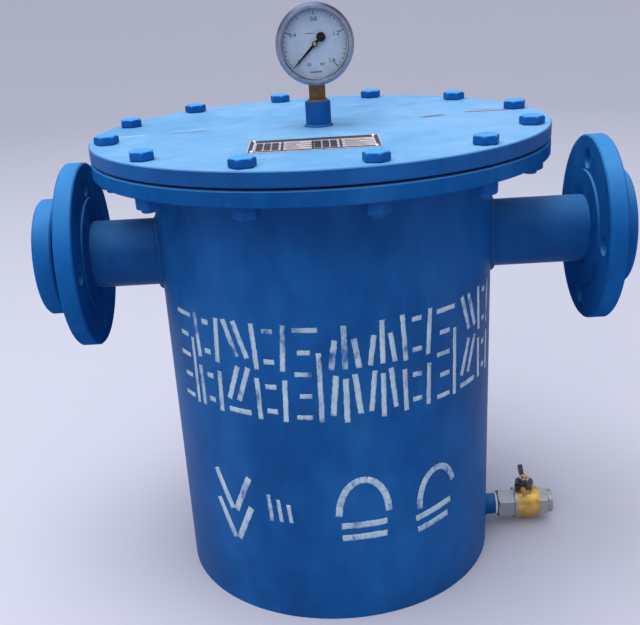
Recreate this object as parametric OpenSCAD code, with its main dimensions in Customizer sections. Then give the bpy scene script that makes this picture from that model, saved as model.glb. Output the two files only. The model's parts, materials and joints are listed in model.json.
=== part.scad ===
// Compressed air filter: a flanged vessel that separates water from compressed air.
// Millimetres, +Z up. Origin: centre of the underside. Air flows from -X to +X.

/* [Vessel] */
// Outer diameter of the shell
shell_d = 299; // [270:1:310]
// Wall thickness of the shell
shell_wall = 6; // [4:0.5:8]
// Height from the floor to the top of the cover
total_h = 412; // [400:1:480]
// Thickness of the flat bottom plate
bottom_t = 10; // [8:1:12]

/* [Cover joint] */
// Diameter of the cover and of the body flange
cover_d = 395; // [390:1:420]
// Thickness of the cover
cover_t = 12; // [10:1:16]
// Thickness of the body flange
body_flange_t = 12; // [10:1:16]
// Thickness of the cover gasket
gasket_t = 2; // [1:0.5:3]
// Number of cover bolts
bolt_count = 12; // [8:1:16]
// Pitch circle diameter of the cover bolts
bolt_pcd = 364; // [360:1:366]
// Angle of the first cover bolt from +X, in degrees
bolt_start = 12; // [0:1:30]
// Length of a cover bolt under its head
bolt_len = 40; // [38:1:46]

/* [Nozzles] */
// Depth of the nozzle axis below the cover top
nozzle_drop = 104; // [98:1:110]
// Outer diameter of the nozzle pipes
pipe_d = 60.3; // [57:0.1:60.3]
// Wall thickness of the nozzle pipes
pipe_wall = 3.6; // [2.9:0.1:4.5]
// Distance from the vessel axis to the inlet's sealing face
inlet_reach = 254; // [245:1:280]
// Distance from the vessel axis to the outlet's sealing face
outlet_reach = 270; // [245:1:280]
// Gap between the inlet's loose flange and its stub ring
inlet_gap = 10; // [0.5:0.5:14]
// Gap between the outlet's loose flange and its stub ring
outlet_gap = 0.5; // [0.5:0.5:14]
// Diameter of the stub rings
ring_d = 104; // [100:1:105]
// Thickness of the stub rings
ring_t = 17; // [14:1:20]
// Diameter of the loose flanges
loose_d = 165; // [160:1:170]
// Thickness of the loose flanges
loose_t = 16; // [14:1:18]
// Angle of the inlet flange's first bolt hole, in degrees
inlet_hole_start = 0; // [0:5:85]
// Angle of the outlet flange's first bolt hole, in degrees
outlet_hole_start = 0; // [0:5:85]

/* [Filter element] */
// Offset of the element from the vessel axis, away from the inlet
element_x = 25; // [24:1:30]
// Diameter of the pleated medium
element_d = 108; // [100:1:108]
// Length of the pleated medium
element_h = 170; // [120:1:180]
// Number of pleats
pleats = 40; // [24:1:48]

/* [Drain] */
// Height of the drain axis above the floor
drain_z = 20.5; // [20:0.5:22]
// Distance from the vessel axis to the drain valve's stem
valve_x = 191; // [190:1:200]

/* [Gauge] */
// Outer diameter of the gauge case
case_d = 62; // [60:1:63]
// Height of the gauge centre above the cover
gauge_rise = 68; // [67:1:72]
// Pointer angle at zero, below the horizontal on the left
zero_angle = 45; // [30:1:60]

/* [Nameplate] */
// Width of the nameplate
plate_w = 103; // [90:1:110]
// Depth of the nameplate
plate_h = 54; // [40:1:56]

/* [Hidden] */
$fn = 96;

paint = "#1f62ac";
steel = "silver";
brass = "#b08a3c";
rubber = "#2c2c2c";
overlap = 0.01;
over = 1;

// Heights of the stack, from the floor up
cover_z = total_h - cover_t;
body_flange_top = cover_z - gasket_t;
body_flange_z = body_flange_top - body_flange_t;
shell_setback = 3;
flange_edge = 0.8;
shell_top = body_flange_top - shell_setback;
nozzle_z = total_h - nozzle_drop;
partition_z = 256;
partition_t = 6;
element_gasket_t = 2;
element_top = partition_z + partition_t + element_gasket_t;
element_bottom = element_top - element_h;
cap_t = 3;

// Radii shared between pieces
shell_r = shell_d / 2;
shell_ri = shell_r - shell_wall;
pipe_r = pipe_d / 2;
pipe_ri = pipe_r - pipe_wall;
weld_gap = 0.2;
nozzle_weld = 5;
gasket_ri = shell_r + 2;
gasket_ro = bolt_pcd / 2 - 7;

// Cover bolts, metric size 12
bolt_d = 12;
bolt_hole_d = 13.5;
bolt_af = 18;
bolt_head_h = 7.5;
nut_h = 10.8;
thread_clearance = 0.08;

// Loose flange drilling
loose_bore_d = pipe_d + 1.6;
loose_pcd = 125;
loose_holes = 4;
loose_hole_d = 18;
land_d = 104;
land_t = 2;

// Inlet elbow inside the vessel
elbow_r = 48;
elbow_x = 138;
dip_x = -(elbow_x - elbow_r);
dip_bottom = partition_z - 26;
baffle_z = 55;
baffle_t = 3;
baffle_holes = 6;
baffle_hole_d = 30;
baffle_hole_r = 95;

// Element bore and tie rod
core_r = 31;
core_wall = 1.5;
partition_hole_r = 58;
rod_r = 5;
rod_top = 296;
bar_t = 5;

// Drain valve, half inch size
nipple_r = 10.65;
nipple_ri = 7.85;
ball_r = 12;
flow_r = 7;
seat_gap = 0.15;
hex_af = 26;
barrel_r = 15.5;
body_x0 = valve_x - 28;
seat_x0 = valve_x - 12.5;
cap_x0 = valve_x + 12.5;
barrel_x1 = valve_x + 14;
valve_x1 = valve_x + 28;
nipple_grip = 12;
seat_r = ball_r + 0.7;
outlet_thread_r = 9.3;
outlet_thread_len = 14;
stem_r = 4;
stem_tip_r = 3;
stem_tip_h = 8;
shaft_gap = 0.05;
packing_r = 6.4;
packing_depth = 3.5;
slot_w = 4;
slot_depth = 2.5;
boss_top = drain_z + 18.5;
packing_nut_h = 4;
gland_h = 1;
handle_z = boss_top + packing_nut_h + 0.3;
handle_t = 2;

// Gauge, depths counted from the stem axis towards the reader
gauge_z = total_h + gauge_rise;
case_r = case_d / 2;
case_wall = 1.2;
case_back = -10;
case_front = 16.2;
bezel_r = case_r + 1.5;
bezel_front = 21;
lip_t = 1.3;
glass_t = 2.5;
glass_r = case_r - 0.5;
dial_w = 10.8;
dial_t = 0.6;
pointer_w = 13.3;
pointer_t = 0.5;
hub_r = 2.3;
hub_rise = 1.2;
hub_drop = 0.4;
front_plate_w = 8.3;
back_plate_w = 1.1;
movement_plate_t = 1.2;
sector_w = 4.5;
sector_t = 2;
arbor_r = 0.6;
tube_r = 21;
tube_tip_angle = -30;
tube_mid_w = -4;
block_half = 7;
neck_r = 5.5;
block_top = 15;
block_bottom = case_r - 3;
link_w = 3.8;
link_t = 0.5;
tail_reach = 7;
dial_screw_x = 6;
dial_screw_y = -16;
dial_screw_r = 0.8;
vent_y = 17;
vent_r = 4;

// Gear pair of the gauge
gear_m = 0.5;
pinion_teeth = 14;
sector_teeth = 56;
pressure_angle = 20;
addendum = 0.8 * gear_m;
dedendum = 1.1 * gear_m;
flank_thinning = 0.05;
pinion_pitch_r = gear_m * pinion_teeth / 2;
sector_pitch_r = gear_m * sector_teeth / 2;
gear_centres = pinion_pitch_r + sector_pitch_r;
pointer_sweep = 270;
sector_sweep = pointer_sweep * pinion_teeth / sector_teeth;

// Socket and stem of the gauge
socket_r = 11;
socket_h = 21;
socket_edge = 0.6;
socket_weld = 2.5;
stem_thread_r = 7;
seal_t = 1.5;
seal_w = 1.4;
stem_hex_af = 14;

// Nameplate place on the cover
plate_x = -5;
plate_y = -96;
plate_t = 0.8;
rivet_inset = 4;

// ---- Shared shapes ----

module ring(r_out, r_in, h) {
    difference() {
        cylinder(r = r_out, h = h);
        translate([0, 0, -over]) cylinder(r = r_in, h = h + 2 * over);
    }
}

// Disc with both outer edges broken, and an optional bore
module edged_disc(r, h, edge, bore = 0) {
    rotate_extrude()
        polygon([[bore, 0], [r - edge, 0], [r, edge], [r, h - edge], [r - edge, h], [bore, h]]);
}

// Fillet bead of triangular section, its corner at radius r on the plane z = 0
module fillet_outside(r, leg) {
    rotate_extrude() polygon([[r, 0], [r + leg, 0], [r, leg]]);
}

module fillet_inside(r, leg) {
    rotate_extrude() polygon([[r, 0], [r, leg], [r - leg, 0]]);
}

// Hexagon prism with the corners of one or both ends turned off
module hex_prism(af, h, both = false) {
    corner_r = af / 2 / cos(30);
    face_r = af * 0.475;
    wide_r = corner_r + over;
    drop = (wide_r - face_r) * tan(30);
    intersection() {
        cylinder(r = corner_r, h = h, $fn = 6);
        rotate_extrude()
            polygon([
                [0, 0], [both ? face_r : wide_r, 0], [wide_r, both ? drop : 0],
                [wide_r, h - drop], [face_r, h], [0, h]
            ]);
    }
}

module around(count, radius, start = 0) {
    for (i = [0 : count - 1])
        rotate([0, 0, start + i * 360 / count]) translate([radius, 0, 0]) children();
}

module at_bolts() {
    around(bolt_count, bolt_pcd / 2, bolt_start) children();
}

// Children drawn upright are laid along +X from x, on the axis at height z
module along_x(x, z) {
    translate([x, 0, z]) rotate([0, 90, 0]) children();
}

// Children drawn upright are laid along -X from x
module along_minus_x(x, z) {
    translate([x, 0, z]) rotate([0, -90, 0]) children();
}

// Gauge frame: X to the right, Y up, Z towards the reader, origin on the pointer axis
module in_gauge(depth = 0) {
    translate([0, -depth, gauge_z]) rotate([90, 0, 0]) children();
}

// ---- Vessel ----

module vessel_shell() {
    color(paint) difference() {
        ring(shell_r, shell_ri, shell_top);
        along_x(0, nozzle_z) cylinder(r = pipe_r + weld_gap, h = shell_d);
        along_minus_x(0, nozzle_z) cylinder(r = pipe_r + weld_gap, h = shell_d);
        along_x(0, drain_z) cylinder(r = nipple_r + weld_gap, h = shell_d);
    }
}

module bottom_plate() {
    color(paint) cylinder(r = shell_ri, h = bottom_t);
}

module bottom_weld() {
    leg = 5;
    color(paint) difference() {
        translate([0, 0, bottom_t]) fillet_inside(shell_ri, leg);
        along_x(0, drain_z) cylinder(r = nipple_r + weld_gap, h = shell_d);
    }
}

module body_flange() {
    color(paint) difference() {
        translate([0, 0, body_flange_z]) edged_disc(cover_d / 2, body_flange_t, flange_edge, shell_r);
        translate([0, 0, body_flange_z - over])
            at_bolts() cylinder(d = bolt_hole_d, h = body_flange_t + 2 * over);
    }
}

module body_flange_weld() {
    leg = 6;
    color(paint) {
        translate([0, 0, body_flange_z]) mirror([0, 0, 1]) fillet_outside(shell_r, leg);
        translate([0, 0, shell_top]) fillet_inside(shell_r, shell_setback);
    }
}

module cover_gasket() {
    color(rubber) translate([0, 0, body_flange_top]) ring(gasket_ro, gasket_ri, gasket_t);
}

module cover_nuts() {
    color(paint) translate([0, 0, body_flange_z - nut_h])
        at_bolts() difference() {
            hex_prism(bolt_af, nut_h, true);
            translate([0, 0, -over]) cylinder(r = bolt_d / 2 + thread_clearance, h = nut_h + 2 * over);
        }
}

// ---- Nozzles ----

// Pipe drawn upright from the inside of the vessel out to the sealing face
module nozzle_pipe(inner_end, reach) {
    translate([0, 0, inner_end]) ring(pipe_r, pipe_ri, reach - inner_end);
}

module inlet_pipe() {
    color(paint) along_minus_x(0, nozzle_z) nozzle_pipe(elbow_x, inlet_reach);
}

module outlet_pipe() {
    color(paint) along_x(0, nozzle_z) nozzle_pipe(elbow_x, outlet_reach);
}

// Weld that follows the saddle where a pipe of radius r leaves the shell
module saddle_weld(r, width, height) {
    intersection() {
        translate([0, 0, shell_ri]) ring(r + width, r, shell_wall + height);
        rotate([0, 90, 0]) translate([0, 0, -shell_r]) ring(shell_r + height, shell_r, shell_d);
    }
}

module inlet_pipe_weld() {
    color(paint) along_minus_x(0, nozzle_z) saddle_weld(pipe_r, nozzle_weld, nozzle_weld);
}

module outlet_pipe_weld() {
    color(paint) along_x(0, nozzle_z) saddle_weld(pipe_r, nozzle_weld, nozzle_weld);
}

// Stub ring with water lines turned in its sealing face, drawn upright, face up
module stub_ring() {
    line_depth = 0.4;
    line_w = 1;
    line_pitch = 4;
    edge = 1.5;
    difference() {
        edged_disc(ring_d / 2, ring_t, edge, pipe_r);
        for (r = [pipe_r + 2 * line_pitch : line_pitch : ring_d / 2 - line_pitch])
            translate([0, 0, ring_t - line_depth]) ring(r + line_w / 2, r - line_w / 2, line_depth + over);
    }
}

module inlet_stub_ring() {
    color(paint) along_minus_x(ring_t - inlet_reach, nozzle_z) stub_ring();
}

module outlet_stub_ring() {
    color(paint) along_x(outlet_reach - ring_t, nozzle_z) stub_ring();
}

// Loose flange drawn upright, its raised land below, towards the vessel
module loose_flange(hole_start) {
    edge = 1.2;
    difference() {
        rotate_extrude()
            polygon([
                [loose_bore_d / 2, -land_t], [land_d / 2, -land_t], [land_d / 2, 0],
                [loose_d / 2 - edge, 0], [loose_d / 2, edge], [loose_d / 2, loose_t - edge],
                [loose_d / 2 - edge, loose_t], [loose_bore_d / 2, loose_t]
            ]);
        translate([0, 0, -land_t - over])
            around(loose_holes, loose_pcd / 2, hole_start)
                cylinder(d = loose_hole_d, h = loose_t + land_t + 2 * over);
    }
}

module inlet_loose_flange() {
    back = inlet_reach - ring_t - inlet_gap - loose_t;
    color(paint) along_minus_x(-back, nozzle_z) loose_flange(inlet_hole_start);
}

module outlet_loose_flange() {
    back = outlet_reach - ring_t - outlet_gap - loose_t;
    color(paint) along_x(back, nozzle_z) loose_flange(outlet_hole_start);
}

// ---- Inside of the vessel ----

module inlet_elbow() {
    color(paint) {
        translate([-elbow_x, 0, nozzle_z - elbow_r]) rotate([90, 0, 0])
            rotate_extrude(angle = 90) translate([elbow_r, 0]) difference() {
                circle(r = pipe_r);
                circle(r = pipe_ri);
            }
        translate([dip_x, 0, dip_bottom]) ring(pipe_r, pipe_ri, nozzle_z - elbow_r - dip_bottom);
    }
}

module partition_plate() {
    color(paint) translate([0, 0, partition_z]) difference() {
        cylinder(r = shell_ri, h = partition_t);
        translate([element_x, 0, -over]) cylinder(r = partition_hole_r, h = partition_t + 2 * over);
        translate([dip_x, 0, -over]) cylinder(r = pipe_r + weld_gap, h = partition_t + 2 * over);
    }
}

// Plate that keeps the collected water calm, held to the shell by three tabs
module sump_baffle() {
    slot_gap = 8;
    tab_w = 30;
    tab_gap = 0.1;
    color(paint) translate([0, 0, baffle_z]) difference() {
        union() {
            cylinder(r = shell_ri - slot_gap, h = baffle_t);
            intersection() {
                cylinder(r = shell_ri - tab_gap, h = baffle_t);
                around(3, shell_ri - 2 * slot_gap, 60)
                    translate([0, -tab_w / 2, 0]) cube([tab_w, tab_w, baffle_t]);
            }
        }
        translate([0, 0, -over]) around(baffle_holes, baffle_hole_r)
            cylinder(d = baffle_hole_d, h = baffle_t + 2 * over);
        translate([element_x, 0, -over]) cylinder(r = rod_r + weld_gap, h = baffle_t + 2 * over);
    }
}

module in_element(z) {
    translate([element_x, 0, z]) children();
}

module element_gasket() {
    color(rubber) in_element(partition_z + partition_t)
        ring(partition_hole_r + 10, partition_hole_r, element_gasket_t);
}

module element_top_cap() {
    lip_r = partition_hole_r - 0.6;
    lip_wall = 1.2;
    lip_h = 7;
    color(steel) in_element(element_top) {
        ring(partition_hole_r + 12, core_r, cap_t);
        translate([0, 0, -lip_h]) ring(lip_r, lip_r - lip_wall, lip_h);
    }
}

// Perforated tube inside the medium
module element_core() {
    rows = 6;
    per_row = 8;
    hole_d = 10;
    pitch = element_h / rows;
    color(steel) in_element(element_bottom) difference() {
        ring(core_r, core_r - core_wall, element_h);
        for (i = [0 : rows - 1])
            translate([0, 0, pitch * (i + 0.5)]) around(per_row, 0, (i % 2) * 180 / per_row)
                rotate([0, 90, 0]) cylinder(d = hole_d, h = core_r + over);
    }
}

// Folded medium: a zigzag outside round the core
module element_media() {
    fold_r = [element_d / 2, element_d / 2 - 14];
    color("#e6e2d4") in_element(element_bottom) linear_extrude(element_h) difference() {
        polygon([
            for (i = [0 : 2 * pleats - 1]) let (a = i * 180 / pleats)
                fold_r[i % 2] * [cos(a), sin(a)]
        ]);
        circle(r = core_r);
    }
}

// Perforated sheet round the pleats, stopping short of the top cap's lip
module element_sleeve() {
    sleeve_gap = 0.2;
    sleeve_wall = 1.4;
    top_gap = 9;
    color("#c9ccc8") in_element(element_bottom)
        ring(element_d / 2 + sleeve_gap + sleeve_wall, element_d / 2 + sleeve_gap, element_h - top_gap);
}

module element_bottom_cap() {
    rim_r = element_d / 2 + 3;
    rim_wall = 1.2;
    rim_h = 6;
    color(steel) in_element(element_bottom - cap_t) difference() {
        union() {
            cylinder(r = rim_r, h = cap_t);
            translate([0, 0, cap_t]) ring(rim_r, rim_r - rim_wall, rim_h);
        }
        translate([0, 0, -over]) cylinder(r = rod_r + thread_clearance, h = cap_t + 2 * over);
    }
}

module tie_rod() {
    color(steel) in_element(bottom_t) cylinder(r = rod_r, h = rod_top - bottom_t);
}

module hold_down_bar() {
    bar_len = 130;
    bar_w = 22;
    color(steel) in_element(element_top + cap_t) difference() {
        translate([-bar_w / 2, -bar_len / 2, 0]) cube([bar_w, bar_len, bar_t]);
        translate([0, 0, -over]) cylinder(r = rod_r + thread_clearance, h = bar_t + 2 * over);
    }
}

// Wing nut
module hold_down_nut() {
    wing_t = 3;
    wing_x = 17;
    wing_z = 13;
    hub_h = 10;
    color(steel) in_element(element_top + cap_t + bar_t) difference() {
        union() {
            cylinder(r = 9, h = hub_h);
            translate([0, wing_t / 2, 0]) rotate([90, 0, 0]) linear_extrude(wing_t) {
                for (side = [-1, 1]) {
                    polygon([[0, 1], [side * (wing_x - 2), 8], [side * (wing_x - 2), 12], [0, hub_h - 1]]);
                    translate([side * wing_x, wing_z]) circle(r = 5);
                }
            }
        }
        translate([0, 0, -over]) cylinder(r = rod_r + thread_clearance, h = 2 * wing_z);
    }
}

// ---- Drain ----

module drain_nipple() {
    color(paint) along_x(shell_ri, drain_z) ring(nipple_r, nipple_ri, body_x0 + nipple_grip - shell_ri);
}

module drain_nipple_weld() {
    color(paint) along_x(0, drain_z) saddle_weld(nipple_r, 4, 3);
}

module thread_tape() {
    color("white") along_x(body_x0 - 2, drain_z) ring(nipple_r + 0.5, nipple_r, 1.9);
}

module valve_body() {
    cavity_r = seat_r + 0.1;
    barrel_x0 = valve_x - 11;
    boss_r = 9;
    color(brass) difference() {
        union() {
            along_minus_x(barrel_x0, drain_z) hex_prism(hex_af, barrel_x0 - body_x0);
            along_x(barrel_x0, drain_z) cylinder(r = barrel_r, h = barrel_x1 - barrel_x0);
            translate([valve_x, 0, drain_z]) cylinder(r = boss_r, h = boss_top - drain_z);
        }
        along_x(body_x0 - over, drain_z) cylinder(r = nipple_r + thread_clearance, h = nipple_grip + over);
        along_x(body_x0, drain_z) cylinder(r = flow_r, h = valve_x1 - body_x0);
        along_x(seat_x0, drain_z) cylinder(r = cavity_r, h = valve_x1 - seat_x0);
        translate([valve_x, 0, drain_z]) cylinder(r = stem_r + shaft_gap, h = boss_top - drain_z + over);
        translate([valve_x, 0, boss_top - packing_depth])
            cylinder(r = packing_r + shaft_gap, h = packing_depth + over);
    }
}

// Screwed end of the valve with the outlet thread
module valve_end_cap() {
    hex_end = valve_x1 - 4;
    rim_r = 11.8;
    color(brass) difference() {
        union() {
            along_x(cap_x0, drain_z) cylinder(r = seat_r, h = barrel_x1 - cap_x0 + over);
            along_x(barrel_x1, drain_z) hex_prism(hex_af, hex_end - barrel_x1);
            along_x(barrel_x1, drain_z) cylinder(r = rim_r, h = valve_x1 - barrel_x1);
        }
        along_x(cap_x0 - over, drain_z) cylinder(r = flow_r, h = valve_x1 - cap_x0);
        along_x(valve_x1 - outlet_thread_len, drain_z)
            cylinder(r = outlet_thread_r, h = outlet_thread_len + over);
    }
}

module ball_seats() {
    seat_len = 5;
    color("white") difference() {
        union() {
            along_x(seat_x0, drain_z) ring(seat_r, flow_r, seat_len);
            along_x(cap_x0 - seat_len, drain_z) ring(seat_r, flow_r, seat_len);
        }
        translate([valve_x, 0, drain_z]) sphere(r = ball_r + seat_gap);
    }
}

module stem_packing() {
    color("white") translate([valve_x, 0, boss_top - packing_depth])
        ring(packing_r, stem_r + shaft_gap, packing_depth - gland_h);
}

module packing_nut() {
    packing_nut_af = 17;
    color(brass) translate([valve_x, 0, boss_top]) difference() {
        union() {
            hex_prism(packing_nut_af, packing_nut_h);
            translate([0, 0, -gland_h]) cylinder(r = packing_r, h = 2 * gland_h);
        }
        translate([0, 0, -2 * gland_h]) cylinder(r = stem_r + shaft_gap, h = packing_nut_h + 3 * gland_h);
    }
}

// Ball at rest across the flow: the valve is shut
module valve_ball() {
    color(steel) translate([valve_x, 0, drain_z]) difference() {
        sphere(r = ball_r);
        rotate([90, 0, 0]) cylinder(r = flow_r, h = 2 * ball_r + 2 * over, center = true);
        translate([-slot_w / 2, -ball_r, ball_r - slot_depth]) cube([slot_w, 2 * ball_r, 2 * slot_depth]);
    }
}

module valve_stem() {
    tang_half = 2.8;
    foot_z = ball_r + 0.8;
    tip_z = handle_z - drain_z;
    color(brass) translate([valve_x, 0, drain_z]) {
        translate([-slot_w / 2, -tang_half, ball_r - slot_depth]) cube([slot_w, 2 * tang_half, 4]);
        translate([0, 0, foot_z]) cylinder(r = stem_r, h = tip_z - foot_z);
        translate([0, 0, tip_z - overlap]) cylinder(r = stem_tip_r - shaft_gap, h = stem_tip_h);
    }
}

// Two-winged handle, its wings across the pipe while the valve is shut
module valve_handle() {
    wing_t = 4;
    pad_y = 20;
    pad_z = 6.2;
    pad_r = 3.4;
    color("#33363a") translate([valve_x, 0, handle_z]) difference() {
        union() {
            cylinder(r = 9, h = handle_t);
            translate([-wing_t / 2, 0, 0]) rotate([90, 0, 90]) linear_extrude(wing_t) {
                for (side = [-1, 1]) {
                    polygon([
                        [side * 5, 0], [side * (pad_y - 2), 2], [side * (pad_y + 2), 4],
                        [side * (pad_y + 2), 8.5], [side * (pad_y - 2), 9], [side * 6.5, handle_t]
                    ]);
                    translate([side * pad_y, pad_z]) circle(r = pad_r);
                }
            }
        }
        translate([0, 0, -over]) cylinder(r = stem_tip_r, h = stem_tip_h + 2 * over);
    }
}

module handle_nut() {
    handle_nut_af = 10;
    handle_nut_h = 4;
    color(steel) translate([valve_x, 0, handle_z + handle_t]) difference() {
        hex_prism(handle_nut_af, handle_nut_h);
        translate([0, 0, -over]) cylinder(r = stem_tip_r, h = handle_nut_h + 2 * over);
    }
}

// ---- Cover ----

module cover_plate() {
    gauge_port_d = 8;
    color(paint) translate([0, 0, cover_z]) difference() {
        edged_disc(cover_d / 2, cover_t, flange_edge);
        translate([0, 0, -over]) {
            at_bolts() cylinder(d = bolt_hole_d, h = cover_t + 2 * over);
            cylinder(d = gauge_port_d, h = cover_t + 2 * over);
        }
    }
}

module cover_bolts() {
    head_turn = 15;
    end_edge = 1;
    color(paint) translate([0, 0, total_h]) at_bolts() {
        rotate([0, 0, head_turn]) hex_prism(bolt_af, bolt_head_h);
        translate([0, 0, -bolt_len]) edged_disc(bolt_d / 2, bolt_len + over, end_edge);
    }
}

module nameplate() {
    color(steel) translate([plate_x - plate_w / 2, plate_y - plate_h / 2, total_h])
        cube([plate_w, plate_h, plate_t]);
}

module nameplate_rivets() {
    ball_rad = 2.4;
    sunk = ball_rad / 2;
    reach = [plate_w / 2 - rivet_inset, plate_h / 2 - rivet_inset];
    color(steel)
        for (sx = [-1, 1], sy = [-1, 1])
            translate([plate_x + sx * reach[0], plate_y + sy * reach[1], total_h + plate_t])
                intersection() {
                    translate([0, 0, -sunk]) sphere(r = ball_rad);
                    cylinder(r = ball_rad, h = ball_rad);
                }
}

// ---- Gauge ----

module gauge_socket() {
    color(paint) translate([0, 0, total_h]) difference() {
        edged_disc(socket_r, socket_h, socket_edge);
        translate([0, 0, -over]) cylinder(r = stem_thread_r, h = socket_h + 2 * over);
    }
}

module gauge_socket_weld() {
    color(paint) translate([0, 0, total_h]) fillet_outside(socket_r, socket_weld);
}

module stem_seal() {
    color("#b4642c") translate([0, 0, total_h + socket_h])
        ring(stem_thread_r + seal_w, stem_thread_r, seal_t);
}

// Threaded end, hexagon, neck and, inside the case, the block that carries tube and movement
module gauge_stem() {
    thread_z = total_h + 5;
    hex_z = total_h + socket_h + seal_t;
    hex_top = gauge_z - case_r - 0.4;
    block_z = gauge_z - block_bottom;
    bore_r = 2;
    port_r = 0.8;
    color(brass) difference() {
        union() {
            translate([0, 0, thread_z]) cylinder(r = stem_thread_r, h = hex_z - thread_z);
            translate([0, 0, hex_z]) rotate([0, 0, 30]) hex_prism(stem_hex_af, hex_top - hex_z, true);
            translate([0, 0, hex_top - overlap]) cylinder(r = neck_r, h = block_z - hex_top + 2 * overlap);
            translate([-block_half, -back_plate_w, block_z])
                cube([2 * block_half, back_plate_w + block_half, block_bottom - block_top]);
        }
        translate([0, 0, total_h]) cylinder(r = bore_r, h = gauge_z - tube_r - total_h + over);
        translate([-block_half - over, -tube_mid_w, gauge_z - tube_r])
            rotate([0, 90, 0]) cylinder(r = port_r, h = block_half + over);
    }
}

module gauge_case() {
    back_edge = 3;
    color(steel) in_gauge() difference() {
        rotate_extrude() polygon([
            [0, case_back], [case_r - back_edge, case_back], [case_r, case_back + back_edge],
            [case_r, case_front], [case_r - case_wall, case_front],
            [case_r - case_wall, case_back + back_edge], [case_r - back_edge, case_back + case_wall],
            [0, case_back + case_wall]
        ]);
        rotate([90, 0, 0]) cylinder(r = neck_r + 2 * shaft_gap, h = case_r + over);
        translate([0, vent_y, case_back - over]) cylinder(r = vent_r, h = case_wall + 2 * over);
    }
}

// Plug that lets pressure out of the case
module vent_plug() {
    head_r = vent_r + 1.5;
    head_t = 1.5;
    color(rubber) in_gauge() translate([0, vent_y, case_back]) {
        translate([0, 0, -head_t]) cylinder(r = head_r, h = head_t);
        cylinder(r = vent_r - 2 * shaft_gap, h = case_wall);
    }
}

module gauge_bezel() {
    back = bezel_front - 9;
    inner_r = case_r + 0.1;
    lip_ri = case_r - 3.5;
    corner = 2;
    color(steel) in_gauge() rotate_extrude() polygon([
        [inner_r, back], [bezel_r, back], [bezel_r, bezel_front - corner], [bezel_r - corner, bezel_front],
        [lip_ri + flange_edge, bezel_front], [lip_ri, bezel_front - lip_t], [inner_r, bezel_front - lip_t]
    ]);
}

module gauge_glass() {
    color([0.9, 0.95, 1, 0.3]) in_gauge() translate([0, 0, bezel_front - lip_t - glass_t])
        cylinder(r = glass_r, h = glass_t);
}

module glass_gasket() {
    color(rubber) in_gauge() translate([0, 0, case_front])
        ring(glass_r, glass_r - 2.7, bezel_front - lip_t - glass_t - case_front);
}

module gauge_dial() {
    color("white") in_gauge() translate([0, 0, dial_w]) difference() {
        cylinder(r = case_r - case_wall - 0.4, h = dial_t);
        translate([0, 0, -over]) cylinder(r = 2, h = dial_t + 2 * over);
        at_dial_screws() translate([0, 0, -over]) cylinder(r = dial_screw_r, h = dial_t + 2 * over);
    }
}

module dial_screws() {
    plate_front = front_plate_w + movement_plate_t;
    dial_front = dial_w + dial_t;
    color(steel) in_gauge() at_dial_screws() {
        translate([0, 0, plate_front]) cylinder(r = dial_screw_r, h = dial_front - plate_front);
        translate([0, 0, dial_front]) edged_disc(1.5, 0.8, 0.2);
    }
}

module at_dial_screws() {
    for (side = [-1, 1])
        translate([side * dial_screw_x, dial_screw_y, 0]) children();
}

// Flat tube bent round the movement, from the stem block to its closed tip
module bourdon_tube() {
    sweep = 285;
    half_w = 1.6;
    half_t = 1.2;
    tube_wall = 0.4;
    tip_len = 2;
    color(brass) in_gauge() difference() {
        rotate([0, 0, tube_tip_angle]) {
            rotate_extrude(angle = sweep) translate([tube_r, tube_mid_w]) flat_oval(half_w, half_t);
            translate([tube_r, overlap, tube_mid_w])
                rotate([90, 0, 0]) linear_extrude(tip_len) square([3, 6], center = true);
            translate([tube_r - 1.5, -tip_len, tube_mid_w]) cube([3, tip_len, link_w - tube_mid_w]);
        }
        rotate([0, 0, tube_tip_angle]) rotate_extrude(angle = sweep + 5)
            translate([tube_r, tube_mid_w]) flat_oval(half_w, half_t - tube_wall);
        translate([-block_half, -case_r, -block_half])
            cube([2 * block_half, case_r - block_top + over, 2 * block_half]);
    }
}

// Section of the flat tube: thin along the radius, wide along the pointer axis
module flat_oval(half_w, half_t) {
    square([2 * half_t, 2 * half_w], center = true);
    for (side = [-1, 1]) translate([0, side * half_w]) circle(r = half_t);
}

// Two plates on pillars, with bearing holes for the pinion and sector arbors
module gauge_movement() {
    plate_half_w = 11;
    plate_low = -25;
    plate_high = 10;
    pillar_r = 1.25;
    pillar_inset = 2.5;
    hole_r = arbor_r + shaft_gap;
    gap = front_plate_w - back_plate_w - movement_plate_t;
    color(brass) in_gauge() {
        for (w = [back_plate_w, front_plate_w])
            translate([0, 0, w]) difference() {
                translate([-plate_half_w, plate_low, 0])
                    cube([2 * plate_half_w, plate_high - plate_low, movement_plate_t]);
                for (y = [0, -gear_centres])
                    translate([0, y, -over]) cylinder(r = hole_r, h = movement_plate_t + 2 * over);
            }
        for (side = [-1, 1], y = [plate_low + pillar_inset, plate_high - pillar_inset])
            translate([side * (plate_half_w - pillar_inset), y, back_plate_w + movement_plate_t])
                cylinder(r = pillar_r, h = gap);
    }
}

// Link from the tube's tip to the sector's tail
module gauge_link() {
    eye_r = 1.2;
    strip_w = 1.6;
    tip = tube_r * [cos(tube_tip_angle), sin(tube_tip_angle)] + [-1, -1.7];
    lean = sector_sweep / 2;
    tail = [0, -gear_centres] - tail_reach * [sin(lean), cos(lean)];
    reach = tip - tail;
    color(brass) in_gauge() translate([tail[0], tail[1], link_w])
        rotate([0, 0, atan2(reach[1], reach[0])]) linear_extrude(link_t) {
            translate([0, -strip_w / 2]) square([norm(reach), strip_w]);
            circle(r = eye_r);
            translate([norm(reach), 0]) circle(r = eye_r);
        }
}

// ---- Gauge gears ----

// Polar angle of an involute of base radius rb at radius r, in degrees
function involute_angle(rb, r) = let (a = acos(min(1, rb / r))) tan(a) * 180 / PI - a;

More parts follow.
